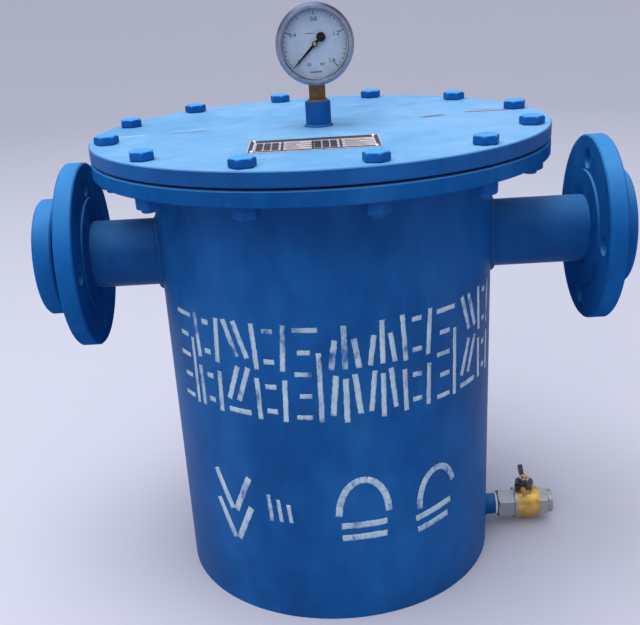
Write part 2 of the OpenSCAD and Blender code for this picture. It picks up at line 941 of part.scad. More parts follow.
// Half of a tooth's angular width at radius r
function half_tooth(teeth, r) =
    let (rp = gear_m * teeth / 2, rb = rp * cos(pressure_angle))
    90 / teeth - flank_thinning / rp * 180 / PI + involute_angle(rb, rp) - involute_angle(rb, max(r, rb));

// Radii of a flank's points, from the root to the tip
function flank_radii(teeth) =
    let (
        rp = gear_m * teeth / 2,
        low = rp - dedendum,
        foot = max(rp * cos(pressure_angle), low) + overlap,
        high = rp + addendum,
        steps = 4
    )
    [low, for (i = [0 : steps]) foot + (high - foot) * i / steps];

// Outline of one tooth about direction a, from root to tip and back
function tooth(teeth, a) =
    let (radii = flank_radii(teeth), n = len(radii))
    [
        for (i = [0 : n - 1]) flank_point(teeth, radii[i], a, -1),
        for (i = [n - 1 : -1 : 0]) flank_point(teeth, radii[i], a, 1)
    ];

function flank_point(teeth, r, a, side) =
    let (b = a + side * half_tooth(teeth, r))
    r * [cos(b), sin(b)];

function reversed(points) = [for (i = [len(points) - 1 : -1 : 0]) points[i]];

// Pinion and its arbor; a tooth space faces the sector at rest
module pinion() {
    step = 360 / pinion_teeth;
    side_margin = 0.6;
    color(brass) in_gauge() {
        translate([0, 0, sector_w - side_margin]) linear_extrude(sector_t + 2 * side_margin)
            polygon([for (i = [0 : pinion_teeth - 1]) each tooth(pinion_teeth, -90 + (i + 0.5) * step)]);
        translate([0, 0, back_plate_w])
            cylinder(r = arbor_r, h = pointer_w + pointer_t + hub_rise - back_plate_w);
    }
}

// Toothed sector, its arms, tail and arbor; a tooth faces the pinion at rest
module sector_gear() {
    step = 360 / sector_teeth;
    extra = 2;
    last = ceil(sector_sweep / step) + extra;
    rim_ri = sector_pitch_r - 2.4;
    arm_w = 1.8;
    tail_w = 2.6;
    lean = sector_sweep / 2;
    angles = [for (i = [-extra : last]) 90 - i * step];
    color(brass) in_gauge() translate([0, -gear_centres, 0]) {
        translate([0, 0, sector_w]) linear_extrude(sector_t) {
            polygon([
                for (a = angles) each reversed(tooth(sector_teeth, a)),
                for (a = reversed(angles)) rim_ri * [cos(a), sin(a)]
            ]);
            for (a = [angles[1], 90 - lean, angles[len(angles) - 2]])
                rotate([0, 0, a]) translate([0, -arm_w / 2]) square([rim_ri + 0.6, arm_w]);
            circle(r = 2.4);
            rotate([0, 0, 270 - lean]) {
                translate([0, -tail_w / 2]) square([tail_reach, tail_w]);
                translate([tail_reach, 0]) circle(r = 1.6);
            }
        }
        translate([0, 0, back_plate_w])
            cylinder(r = arbor_r, h = front_plate_w + movement_plate_t - back_plate_w);
    }
}

// Needle, hub and round tail weight
module gauge_pointer() {
    needle_len = 24;
    root_half = 1.2;
    tip_half = 0.4;
    tail_x = -7.5;
    color("#141414") in_gauge() rotate([0, 0, 180 + zero_angle]) {
        translate([0, 0, pointer_w]) linear_extrude(pointer_t) difference() {
            union() {
                polygon([[0, -root_half], [needle_len, -tip_half], [needle_len, tip_half], [0, root_half]]);
                translate([tail_x, -root_half]) square([-tail_x, 2 * root_half]);
                translate([tail_x, 0]) circle(r = 3.8);
                circle(r = hub_r);
            }
            circle(r = arbor_r);
        }
        translate([0, 0, pointer_w - hub_drop]) ring(hub_r, arbor_r, pointer_t + hub_rise);
    }
}

vessel_shell();
bottom_plate();
bottom_weld();
body_flange();
body_flange_weld();
cover_gasket();
cover_nuts();
inlet_pipe();
outlet_pipe();
inlet_pipe_weld();
outlet_pipe_weld();
inlet_stub_ring();
outlet_stub_ring();
inlet_elbow();
partition_plate();
sump_baffle();
element_gasket();
element_top_cap();
element_core();
element_media();
element_sleeve();
element_bottom_cap();
tie_rod();
hold_down_bar();
hold_down_nut();
drain_nipple();
drain_nipple_weld();
thread_tape();
valve_body();
valve_end_cap();
ball_seats();
stem_packing();
packing_nut();
valve_ball();
valve_stem();
valve_handle();
handle_nut();
cover_plate();
cover_bolts();
gauge_socket();
gauge_socket_weld();
gauge_stem();
stem_seal();
gauge_case();
gauge_bezel();
gauge_glass();
glass_gasket();
gauge_dial();
dial_screws();
bourdon_tube();
gauge_movement();
gauge_link();
vent_plug();
nameplate();
nameplate_rivets();
gauge_pointer();
pinion();
sector_gear();
inlet_loose_flange();
outlet_loose_flange();
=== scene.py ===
"""Compressed air filter: the looks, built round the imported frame. Metres, +Z up, air flows from -X to +X."""
import json
import math

import bmesh
import bpy
from mathutils import Matrix, Vector, noise


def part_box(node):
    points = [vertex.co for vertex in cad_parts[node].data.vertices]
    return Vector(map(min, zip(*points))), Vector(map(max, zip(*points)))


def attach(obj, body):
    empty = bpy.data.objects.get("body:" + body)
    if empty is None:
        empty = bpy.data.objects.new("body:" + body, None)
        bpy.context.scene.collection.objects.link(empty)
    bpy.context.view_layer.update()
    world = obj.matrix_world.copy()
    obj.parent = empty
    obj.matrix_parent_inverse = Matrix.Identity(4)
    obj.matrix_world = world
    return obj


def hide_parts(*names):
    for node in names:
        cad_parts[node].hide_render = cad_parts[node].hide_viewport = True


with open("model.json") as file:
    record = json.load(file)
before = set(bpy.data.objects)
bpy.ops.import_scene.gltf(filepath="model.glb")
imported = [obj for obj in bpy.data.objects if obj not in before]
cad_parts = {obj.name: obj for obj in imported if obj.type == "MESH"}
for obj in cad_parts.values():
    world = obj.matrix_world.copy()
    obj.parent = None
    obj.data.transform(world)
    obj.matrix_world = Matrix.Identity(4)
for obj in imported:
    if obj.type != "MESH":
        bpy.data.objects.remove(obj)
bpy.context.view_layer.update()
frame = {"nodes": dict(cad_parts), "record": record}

MM = 0.001
UP = Vector((0, 0, 1))
RIGHT = Vector((1, 0, 0))
FRONT = Vector((0, -1, 0))


# ---- Places that come from the frame ----

def middle(node):
    low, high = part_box(node)
    return (low + high) / 2


def size(node):
    low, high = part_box(node)
    return high - low


cover_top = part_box("cover_plate")[1].z
flange_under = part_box("body_flange")[0].z
shell_radius = size("vessel_shell").x / 2
shell_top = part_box("vessel_shell")[1].z
nozzle_height = middle("outlet_pipe").z
pipe_radius = size("outlet_pipe").z / 2
socket_radius = size("gauge_socket").x / 2
drain_height = middle("drain_nipple").z
drain_radius = size("drain_nipple").z / 2
gauge_centre = middle("gauge_dial")
dial_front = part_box("gauge_dial")[0].y
dial_radius = size("gauge_dial").x / 2
plate_low, plate_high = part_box("nameplate")


# ---- Materials ----

class Surface:
    """A procedural material: a small graph of nodes that ends in one Principled shader."""

    def __init__(self, name, **sockets):
        self.name = name
        self.material = bpy.data.materials.new(name)
        self.material.use_nodes = True
        self.tree = self.material.node_tree
        self.shader = self.tree.nodes["Principled BSDF"]
        for socket, value in sockets.items():
            self.shader.inputs[socket.replace("_", " ")].default_value = value
        self.place = self.add("ShaderNodeTexCoord").outputs["Object"]

    def add(self, kind, **values):
        node = self.tree.nodes.new(kind)
        for key, value in values.items():
            setattr(node, key, value)
        return node

    def feed(self, socket, value):
        if isinstance(value, bpy.types.NodeSocket):
            self.tree.links.new(value, socket)
        else:
            socket.default_value = value

    def set(self, socket, value):
        self.feed(self.shader.inputs[socket], value)

    def stretched(self, scale):
        node = self.add("ShaderNodeMapping")
        self.feed(node.inputs["Vector"], self.place)
        node.inputs["Scale"].default_value = scale
        return node.outputs["Vector"]

    def noise(self, scale, detail=4.0, rough=0.55, stretch=(1, 1, 1), warp=0.0):
        node = self.add("ShaderNodeTexNoise")
        self.feed(node.inputs["Vector"], self.stretched(stretch))
        node.inputs["Scale"].default_value = scale
        node.inputs["Detail"].default_value = detail
        node.inputs["Roughness"].default_value = rough
        node.inputs["Distortion"].default_value = warp
        return node.outputs["Fac"]

    def cells(self, scale, stretch=(1, 1, 1), feature="F1"):
        node = self.add("ShaderNodeTexVoronoi", feature=feature)
        self.feed(node.inputs["Vector"], self.stretched(stretch))
        node.inputs["Scale"].default_value = scale
        return node.outputs["Distance"]

    def ramp(self, value, low, high, start=0.0, end=1.0):
        """Goes smoothly from start to end while value goes from low to high."""
        node = self.add("ShaderNodeMapRange", interpolation_type="SMOOTHSTEP")
        self.feed(node.inputs["Value"], value)
        for socket, number in (("From Min", low), ("From Max", high), ("To Min", start), ("To Max", end)):
            node.inputs[socket].default_value = number
        return node.outputs["Result"]

    def calc(self, operation, first, second=0.0, third=0.0):
        node = self.add("ShaderNodeMath", operation=operation)
        for socket, value in zip(node.inputs, (first, second, third)):
            self.feed(socket, value)
        return node.outputs[0]

    def mix(self, factor, first, second, blend="MIX"):
        node = self.add("ShaderNodeMix", data_type="RGBA", blend_type=blend)
        self.feed(node.inputs["Factor"], factor)
        colour_sockets = [socket for socket in node.inputs if socket.type == "RGBA"]
        for socket, value in zip(colour_sockets, (first, second)):
            self.feed(socket, value if isinstance(value, bpy.types.NodeSocket) else (*value, 1.0))
        return [socket for socket in node.outputs if socket.type == "RGBA"][0]

    def axis(self, name, source=None):
        node = self.add("ShaderNodeSeparateXYZ")
        self.feed(node.inputs[0], source or self.place)
        return node.outputs[name]

    def base_colour(self):
        """The colour that the shader has so far."""
        return self.shader.inputs["Base Color"].links[0].from_socket

    def facing_up(self):
        return self.axis("Z", self.add("ShaderNodeNewGeometry").outputs["Normal"])

    def rounded(self, radius):
        """Normal with the edges softened over radius metres."""
        node = self.add("ShaderNodeBevel", samples=4)
        node.inputs["Radius"].default_value = radius
        return node.outputs["Normal"]

    def edge_mask(self, radius):
        """One on sharp edges and nought on flat faces, by how far the softened normal leans."""
        flat, sharp = 0.985, 0.93
        node = self.add("ShaderNodeVectorMath", operation="DOT_PRODUCT")
        self.feed(node.inputs[0], self.rounded(radius))
        self.feed(node.inputs[1], self.add("ShaderNodeNewGeometry").outputs["Normal"])
        return self.ramp(node.outputs["Value"], flat, sharp)

    def relief(self, height, depth, edge=0.0):
        """Turns a height from 0 to 1 into bumps depth metres deep, over edges softened by edge metres."""
        node = self.add("ShaderNodeBump")
        self.feed(node.inputs["Height"], height)
        node.inputs["Distance"].default_value = depth
        if edge:
            self.feed(node.inputs["Normal"], self.rounded(edge))
        self.set("Normal", node.outputs["Normal"])

    def streak(self, start, end, half_width, strength):
        """Mask of a smear on the cover from start to end, in metres on the cover."""
        core = 0.6 * half_width
        near = self.add("ShaderNodeVectorMath", operation="SUBTRACT")
        self.feed(near.inputs[0], self.place)
        near.inputs[1].default_value = (*start, cover_top)
        turn = self.add("ShaderNodeVectorRotate", rotation_type="Z_AXIS")
        self.feed(turn.inputs["Vector"], near.outputs[0])
        along = end - start
        turn.inputs["Angle"].default_value = -math.atan2(along.y, along.x)
        across = self.calc("ABSOLUTE", self.axis("Y", turn.outputs[0]))
        down = self.axis("X", turn.outputs[0])
        body = self.ramp(across, half_width, core)
        ends = self.calc(
            "MULTIPLY",
            self.ramp(down, -half_width, half_width),
            self.ramp(down, along.length + half_width, along.length - half_width),
        )
        broken = self.ramp(self.noise(scale=120, detail=7, rough=0.75), 0.30, 0.52)
        mask = self.calc("MULTIPLY", self.calc("MULTIPLY", body, ends), broken)
        return self.calc("MULTIPLY", mask, strength)


DEEP_BLUE = (0.005, 0.062, 0.225)
MID_BLUE = (0.009, 0.108, 0.350)
PALE_BLUE = (0.045, 0.230, 0.560)
CHALK = (0.42, 0.52, 0.62)
# Painted highlight: the lighter blue given to faces that look up
TOP_LIGHT_BLUE = (0.075, 0.310, 0.640)
# Painted sky reflection: the lighter blues of the cover's top face
COVER_TOP_LIT = (0.105, 0.300, 0.550)
COVER_TOP_SHEEN = (0.190, 0.410, 0.670)
COVER_WORN = (0.30, 0.50, 0.74)
BOLT_DEEP = (0.004, 0.064, 0.250)
BOLT_BLUE = (0.008, 0.115, 0.390)
# Painted highlight: the lighter blues of the bolts' tops
BOLT_TOP_LIT = (0.030, 0.230, 0.620)
BOLT_TOP_HIGHLIGHT = (0.110, 0.380, 0.800)
BARE_STEEL = (0.16, 0.16, 0.155)
RUST = (0.13, 0.045, 0.018)
SMEAR_BROWN = (0.13, 0.10, 0.12)
SMEAR_RED = (0.22, 0.11, 0.17)
BRASS = (0.78, 0.50, 0.14)
BRASS_STAIN = (0.40, 0.24, 0.08)
PLATED = (0.42, 0.43, 0.52)
# Painted shade: the darker tint of the gauge case where it faces up
PLATED_TOP_SHADE = (0.055, 0.080, 0.135)
ZINC_DARK = (0.28, 0.29, 0.30)
ZINC_PALE = (0.50, 0.51, 0.52)
GLASS_CLEAR = (0.97, 0.99, 1.0)
GLASS_FILM = (0.90, 0.94, 0.98)
STENCIL_GREY = (0.30, 0.44, 0.56)
STENCIL_WHITE = (0.54, 0.66, 0.74)
HOLE_DARK = (0.03, 0.03, 0.03)


def painted(name, deep=DEEP_BLUE, mid=MID_BLUE, chalk=0.2, wear=0.6, shine=0.06, rough=0.44, top_highlight=0.35):
    """Brushed enamel on steel: uneven thickness, brush lines, dust, chips, rubbed edges; painted highlight on
    top faces.
    """
    s = Surface(name, Specular_IOR_Level=shine)
    grain = (1, 1, 0.5)
    worn_edge = 0.9 * MM
    soft_edge = 0.7 * MM
    depth = 0.18 * MM
    patches = s.noise(scale=7, detail=3, rough=0.5)
    lines = s.noise(scale=55, detail=5, rough=0.6, stretch=grain)
    fine = s.noise(scale=900, detail=3, rough=0.5)
    tone = s.calc("MULTIPLY_ADD", patches, 0.70, s.calc("MULTIPLY", lines, 0.40))
    colour = s.mix(s.ramp(tone, 0.36, 0.76), deep, mid)

    haze = s.noise(scale=16, detail=8, rough=0.62, stretch=grain)
    film = s.calc("MULTIPLY", s.ramp(haze, 0.47, 0.80), chalk)
    colour = s.mix(film, colour, PALE_BLUE)
    # Painted highlight: faces that look up are made lighter in patches, as if lit from above
    patchy = s.ramp(patches, 0.2, 0.6, 0.6 * top_highlight, top_highlight)
    top_light_mask = s.calc("MULTIPLY", s.ramp(s.facing_up(), 0.15, 1.0), patchy)
    colour = s.mix(top_light_mask, colour, TOP_LIGHT_BLUE)
    settled = s.ramp(s.noise(scale=38, detail=6, rough=0.65), 0.35, 0.75)
    dust = s.calc("MULTIPLY", s.ramp(s.facing_up(), 0.55, 0.98), settled)
    colour = s.mix(s.calc("MULTIPLY", dust, 0.30 * chalk), colour, CHALK)

    rubbed = s.ramp(s.noise(scale=170, detail=5, rough=0.7), 0.48, 0.66)
    edges = s.calc("MULTIPLY", s.edge_mask(worn_edge), rubbed)
    colour = s.mix(s.calc("MULTIPLY", edges, wear * 0.55), colour, PALE_BLUE)
    chips = s.calc("MULTIPLY", edges, s.ramp(s.noise(scale=420, detail=4, rough=0.6), 0.60, 0.68))
    colour = s.mix(s.calc("MULTIPLY", chips, wear), colour, BARE_STEEL)
    scattered = s.ramp(s.noise(scale=24, detail=2), 0.60, 0.68)
    specks = s.calc("MULTIPLY", s.ramp(s.cells(95), 0.055, 0.03), scattered)
    colour = s.mix(s.calc("MULTIPLY", specks, wear), colour, RUST)
    s.set("Base Color", colour)

    gloss = s.calc("ADD", rough - 0.08, s.calc("MULTIPLY", lines, 0.16))
    s.set("Roughness", s.calc("ADD", gloss, s.calc("MULTIPLY", film, 0.25)))
    height = s.calc("ADD", s.calc("MULTIPLY", lines, 0.7), s.calc("MULTIPLY", fine, 0.22))
    s.relief(s.calc("SUBTRACT", height, s.calc("MULTIPLY", chips, 0.5)), depth, edge=soft_edge)
    return s


def cover_paint():
    """The cover's paint: its top face lighter as a painted sky reflection, with smears where it has been
    handled.
    """
    s = painted("cover_paint", chalk=0.15, shine=0.08, rough=0.45)
    rim = s.base_colour()
    # Painted reflection: the top face gets lighter blues than the rim, standing in for the sky's sheen
    broad = s.noise(scale=6, detail=4, rough=0.55)
    small = s.noise(scale=48, detail=6, rough=0.65)
    clouds = s.calc("MULTIPLY_ADD", broad, 0.75, s.calc("MULTIPLY", small, 0.35))
    top = s.mix(s.ramp(clouds, 0.35, 0.75), COVER_TOP_LIT, COVER_TOP_SHEEN)
    worn = s.calc("MULTIPLY", s.ramp(s.noise(scale=130, detail=6, rough=0.7), 0.62, 0.74), 0.22)
    top = s.mix(worn, top, COVER_WORN)
    # Start, end and half-width in millimetres on the cover, then strength and colour
    smears = (
        ((92, 14), (110, 20), 5.6, 1.0, SMEAR_BROWN),
        ((132, 31), (170, 29), 4.2, 1.0, SMEAR_RED),
        ((140, 41), (162, 39), 2.2, 0.8, SMEAR_BROWN),
        ((-126, 0), (-96, 6), 4.6, 0.6, SMEAR_BROWN),
        ((-176, -4), (-152, 0), 3.6, 0.6, CHALK),
        ((20, 100), (52, 112), 2.6, 0.5, SMEAR_BROWN),
        ((-70, -140), (-40, -150), 2.0, 0.4, SMEAR_BROWN),
    )
    for start, end, half_width, strength, colour in smears:
        mask = s.streak(Vector(start) * MM, Vector(end) * MM, half_width * MM, strength)
        top = s.mix(mask, top, colour)
    s.set("Base Color", s.mix(s.ramp(s.facing_up(), 0.60, 0.92), rim, top))
    return s


def metal(name, colour, rough=0.3, grain=(1, 1, 1), stain=None, depth=0.06 * MM):
    """Metal with turning or brushing lines, patchy gloss and stains."""
    s = Surface(name, Metallic=1.0)
    soft_edge = 0.4 * MM
    lines = s.noise(scale=160, detail=4, rough=0.6, stretch=grain)
    patches = s.noise(scale=45, detail=4, rough=0.6)
    darker = tuple(0.72 * c for c in colour)
    tone = s.mix(s.ramp(lines, 0.35, 0.70), darker, colour)
    tone = s.mix(s.calc("MULTIPLY", s.ramp(patches, 0.52, 0.74), 0.6), tone, stain or darker)
    s.set("Base Color", tone)
    uneven = s.calc("MULTIPLY_ADD", patches, 0.16, rough - 0.16)
    s.set("Roughness", s.calc("MULTIPLY_ADD", lines, 0.22, uneven))
    s.relief(s.calc("ADD", lines, s.calc("MULTIPLY", patches, 0.4)), depth, edge=soft_edge)
    return s


def bolt_paint():
    """The paint on bolts and nuts: darker below, and lighter where it faces up as a painted highlight."""
    s = painted("bolt_paint", deep=BOLT_DEEP, mid=BOLT_BLUE, wear=0.8)
    side = s.base_colour()
    # Painted highlight: faces that look up get lighter blues
    top = s.mix(s.noise(scale=150, detail=5, rough=0.65), BOLT_TOP_LIT, BOLT_TOP_HIGHLIGHT)
    s.set("Base Color", s.mix(s.ramp(s.facing_up(), 0.55, 0.95), side, top))
    return s


def gauge_steel():
    """Plated steel of the gauge's case, darker where it faces up as painted shade."""
    s = metal("gauge_steel", PLATED, rough=0.34, grain=(1, 4, 1))
    clean = s.base_colour()
    patchy = s.ramp(s.noise(scale=40, detail=4, rough=0.6), 0.15, 0.5, 0.75, 1.0)
    # Painted shade: the case is darkened where it faces up, in patches
    dull = s.calc("MULTIPLY", s.ramp(s.facing_up(), 0.05, 0.60), patchy)
    s.set("Base Color", s.mix(dull, clean, PLATED_TOP_SHADE))
    return s


def valve_metal():
    """Brass in the middle of the drain valve, with plated ends."""
    s = metal("valve_brass", BRASS, rough=0.32, stain=BRASS_STAIN, depth=0.12 * MM)
    brass = s.base_colour()
    stem_place = middle("valve_stem").x
    brass_start, brass_end, fade = stem_place - 8 * MM, stem_place + 15 * MM, 0.5 * MM
    along = s.axis("X")
    inner = s.ramp(along, brass_start - fade, brass_start + fade)
    outer = s.ramp(along, brass_end + fade, brass_end - fade)
    plated = s.mix(s.noise(scale=120, detail=4, rough=0.6), ZINC_DARK, ZINC_PALE)
    s.set("Base Color", s.mix(s.calc("MULTIPLY", inner, outer), plated, brass))
    return s


def soft_solid(name, colour, other, rough, scale, depth, stretch=(1, 1, 1), **sockets):
    """Rubber, plastic, paper or fibre: two tones, a grain and matching bumps."""
    s = Surface(name, **sockets)
    soft_edge = 0.3 * MM
    grain = s.noise(scale, detail=5, rough=0.65, stretch=stretch)
    s.set("Base Color", s.mix(s.ramp(grain, 0.35, 0.68), colour, other))
    s.set("Roughness", s.calc("MULTIPLY_ADD", grain, 0.2, rough - 0.1))
    s.relief(grain, depth, edge=soft_edge)
    return s


def glass():
    """Clear gauge glass with a faint film of dirt; its low index keeps the dial readable."""
    s = Surface("gauge_glass", Transmission_Weight=1.0, IOR=1.25, Roughness=0.02)
    film = s.noise(scale=120, detail=5, rough=0.6)
    s.set("Base Color", s.mix(s.ramp(film, 0.4, 0.8), GLASS_CLEAR, GLASS_FILM))
    return s


def worn_white():
    """Stencilled white paint that has rubbed through to the blue."""
    s = Surface("stencil_white", Specular_IOR_Level=0.25)
    rubbed = s.noise(scale=240, detail=7, rough=0.72, stretch=(1, 1, 0.35))
    patches = s.noise(scale=34, detail=4, rough=0.6)
    lost = s.ramp(s.calc("MULTIPLY_ADD", patches, 0.7, s.calc("MULTIPLY", rubbed, 0.5)), 0.60, 0.76)
    white = s.mix(s.ramp(rubbed, 0.3, 0.7), STENCIL_GREY, STENCIL_WHITE)
    s.set("Base Color", s.mix(lost, white, MID_BLUE))
    s.set("Roughness", s.calc("MULTIPLY_ADD", rubbed, 0.2, 0.4))
    s.relief(rubbed, 0.08 * MM)
    return s


def perforated(name, colour):
    """Zinc mesh or perforated sheet, with its holes as dark dimples."""
    s = Surface(name, Metallic=0.85)
    holes = s.ramp(s.cells(scale=330), 0.38, 0.30)
    s.set("Base Color", s.mix(holes, colour, HOLE_DARK))
    s.set("Roughness", s.calc("MULTIPLY_ADD", holes, 0.4, 0.35))
    s.relief(s.calc("SUBTRACT", 1.0, holes), 0.5 * MM)
    return s


def finishes():
    """Every material by its name: one for each slot in the record, then those for the pieces made here."""
    surfaces = (
        painted("blue_paint"),
        cover_paint(),
        bolt_paint(),
        soft_solid("inner_primer", (0.085, 0.028, 0.018), (0.160, 0.058, 0.036),
                   rough=0.75, scale=60, depth=0.2 * MM),
        soft_solid("gasket_rubber", (0.012, 0.012, 0.013), (0.030, 0.030, 0.030),
                   rough=0.75, scale=300, depth=0.2 * MM),
        metal("zinc_steel", (0.62, 0.63, 0.64), rough=0.34, stain=(0.45, 0.44, 0.40)),
        soft_solid("filter_paper", (0.66, 0.62, 0.50), (0.80, 0.77, 0.66),
                   rough=0.9, scale=500, depth=0.3 * MM, stretch=(1, 1, 0.3)),
        perforated("foam_sleeve", (0.60, 0.62, 0.62)),
        soft_solid("tape_white", (0.78, 0.79, 0.77), (0.90, 0.90, 0.88),
                   rough=0.6, scale=700, depth=0.2 * MM, stretch=(1, 1, 4)),
        valve_metal(),
        metal("ball_chrome", (0.80, 0.80, 0.82), rough=0.16),
        soft_solid("handle_black", (0.020, 0.021, 0.024), (0.045, 0.046, 0.050),
                   rough=0.42, scale=350, depth=0.1 * MM),
        metal("gauge_brass", (0.26, 0.15, 0.06), rough=0.42, stain=(0.16, 0.050, 0.020), depth=0.1 * MM),
        soft_solid("seal_fibre", (0.30, 0.105, 0.035), (0.50, 0.22, 0.08),
                   rough=0.85, scale=420, depth=0.5 * MM, stretch=(1, 1, 5)),
        gauge_steel(),
        glass(),
        soft_solid("dial_white", (0.62, 0.74, 0.92), (0.70, 0.80, 0.95),
                   rough=0.45, scale=90, depth=0.02 * MM),
        soft_solid("pointer_black", (0.002, 0.002, 0.003), (0.006, 0.006, 0.008),
                   rough=0.6, scale=500, depth=0.04 * MM, Specular_IOR_Level=0.1),
        soft_solid("plate_metal", (0.56, 0.47, 0.50), (0.68, 0.62, 0.66),
                   rough=0.42, scale=220, depth=0.04 * MM, Metallic=0.35),
        worn_white(),
        painted("weld_paint", rough=0.55, chalk=0.1),
        # Flanges: no shine, and a stronger painted highlight where they face up
        painted("flange_paint", shine=0.0, top_highlight=0.55, chalk=0.3),
        metal("turned_brass", BRASS),
        soft_solid("print_black", (0.010, 0.011, 0.014), (0.030, 0.032, 0.038),
                   rough=0.5, scale=260, depth=0.03 * MM),
        soft_solid("print_grey", (0.045, 0.060, 0.090), (0.090, 0.110, 0.150),
                   rough=0.5, scale=260, depth=0.03 * MM),
    )
    return {surface.name: surface.material for surface in surfaces}


finish = finishes()


# ---- Mesh tools ----

def new_object(name, mesh, material, smooth=True):
    """Turns a bmesh into an object of the scene with one material."""
    data = bpy.data.meshes.new(name)
    bmesh.ops.recalc_face_normals(mesh, faces=mesh.faces[:])
    mesh.to_mesh(data)
    mesh.free()
    for polygon in data.polygons:
        polygon.use_smooth = smooth
    data.materials.append(material)
    made = bpy.data.objects.new(name, data)
    bpy.context.scene.collection.objects.link(made)
    return made


def add_piece(name, mesh, material, body, replaces=(), smooth=True, sharp=0):
    """Makes one piece of the object from a bmesh, hangs it on its body and hides the CAD parts it replaces."""
    piece = new_object(name, mesh, finish[material], smooth)
    if sharp:
        piece.data.set_sharp_from_angle(angle=math.radians(sharp))
    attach(piece, body)
    if replaces:
        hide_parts(*replaces)


def turns(count):
    """Angles evenly spaced round a full turn."""
    return [2 * math.pi * k / count for k in range(count)]


def sweep(mesh, rings, closed):
    """Skins a row of rings of points; closed joins the last ring to the first."""
    rows = [[mesh.verts.new(p) for p in ring] for ring in rings]
    following = rows[1:] + rows[:1] if closed else rows[1:]
    for first, second in zip(rows, following):
        count = len(first)
        for i in range(count):
            j = (i + 1) % count
            mesh.faces.new((first[i], first[j], second[j], second[i]))
    if not closed:
        mesh.faces.new(rows[0][::-1])
        mesh.faces.new(rows[-1])


def add_bead(mesh, line, radius, pitch):
    """A welder's bead along the closed line: overlapping ripples with an uneven edge."""
    samples = 720
    sides = 14
    steps_per_ripple = 6
    guide = Vector((0.3, 0.2, 1)).normalized()
    too_parallel = 0.3
    broad, fine = 90, 260
    points = [line(i / samples) for i in range(samples)]
    length = sum((points[i] - points[i - 1]).length for i in range(samples))
    ripples = max(8, round(length / pitch))
    steps = ripples * steps_per_ripple
    rings = []
    for step in range(steps):
        t = step / steps
        here = line(t)
        ahead = line((t + 1 / steps) % 1)
        along = (ahead - here).normalized()
        side = along.cross(guide)
        if side.length < too_parallel:
            side = along.cross(RIGHT)
        side.normalize()
        over = along.cross(side)
        phase = (t * ripples) % 1
        wander = 1 + 0.10 * noise.noise(here * broad) + 0.06 * noise.noise(here * fine)
        swell = radius * wander * (1.04 - 0.11 * phase ** 2)
        ring = []
        for turn in turns(sides):
            ring.append(here + swell * (math.cos(turn) * side + math.sin(turn) * over))
        rings.append(ring)
    sweep(mesh, rings, closed=True)


def circle_line(radius, height):
    """A level circle round the vessel's axis."""
    def at(t):
        turn = 2 * math.pi * t
        return Vector((radius * math.cos(turn), radius * math.sin(turn), height))
    return at


def saddle_line(side, radius, height):
    """The line where a pipe along X leaves the shell, on the side of +X or -X."""
    def at(t):
        y = radius * math.cos(2 * math.pi * t)
        rise = radius * math.sin(2 * math.pi * t)
        return Vector((side * math.sqrt(shell_radius ** 2 - y * y), y, height + rise))
    return at


def add_block(mesh, centre, along, across, through):
    """A box about centre, given by its three half-edge vectors."""
    corners = []
    for i in (-1, 1):
        for j in (-1, 1):
            for k in (-1, 1):
                corners.append(mesh.verts.new(centre + i * along + j * across + k * through))
    for face in ((0, 1, 3, 2), (4, 6, 7, 5), (0, 4, 5, 1), (2, 3, 7, 6), (0, 2, 6, 4), (1, 5, 7, 3)):
        mesh.faces.new([corners[i] for i in face])


# ---- Welds ----

def make_welds():
    """A piece in place of each weld that shows, with a bead along each of its lines."""
    # Piece, body, CAD node, and for each line its radius and ripple pitch in millimetres
    beads = (
        ("inlet_nozzle_bead", "vessel", "inlet_pipe_weld",
         [(saddle_line(-1, pipe_radius, nozzle_height), 4.0, 4.2)]),
        ("outlet_nozzle_bead", "vessel", "outlet_pipe_weld",
         [(saddle_line(1, pipe_radius, nozzle_height), 4.0, 4.2)]),
        ("flange_beads", "vessel", "body_flange_weld",
         [(circle_line(shell_radius + 0.8 * MM, flange_under - 0.8 * MM), 4.0, 4.6),
          (circle_line(shell_radius - 1.2 * MM, shell_top + 0.6 * MM), 2.2, 4.0)]),
        ("socket_bead", "cover", "gauge_socket_weld",
         [(circle_line(socket_radius + 0.1 * MM, cover_top), 1.6, 2.6)]),
        ("drain_bead", "vessel", "drain_nipple_weld",
         [(saddle_line(1, drain_radius, drain_height), 2.4, 2.6)]),
    )
    for name, body, weld, lines in beads:
        mesh = bmesh.new()
        for line, radius, pitch in lines:
            add_bead(mesh, line, radius * MM, pitch * MM)
        add_piece(name, mesh, "weld_paint", body, [weld])


# ---- Cover bolts ----

def solids(name):
    """The middle, low and high corner of every separate solid in a CAD node."""
    same_place = 0.001 * MM
    node = frame["nodes"][name]
    mesh = bmesh.new()
    mesh.from_mesh(node.data)
    mesh.transform(node.matrix_world)
    bmesh.ops.remove_doubles(mesh, verts=mesh.verts[:], dist=same_place)
    left = set(mesh.verts)
    found = []
    for start in mesh.verts:
        if start not in left:
            continue
        left.remove(start)
        group = []
        queue = [start]
        while queue:
            vert = queue.pop()
            group.append(vert.co.copy())
            for edge in vert.link_edges:
                other = edge.other_vert(vert)
                if other in left:
                    left.remove(other)
                    queue.append(other)
        low = Vector([min(point[k] for point in group) for k in range(3)])
        high = Vector([max(point[k] for point in group) for k in range(3)])
        found.append(((low + high) / 2, low, high))
    mesh.free()
    return found


def hex_reach(angle, across_flats):
    """How far a hexagon with a corner at nought reaches from its axis in the direction angle."""
    sixth = math.pi / 3
    return across_flats / 2 / math.cos(angle % sixth - sixth / 2)


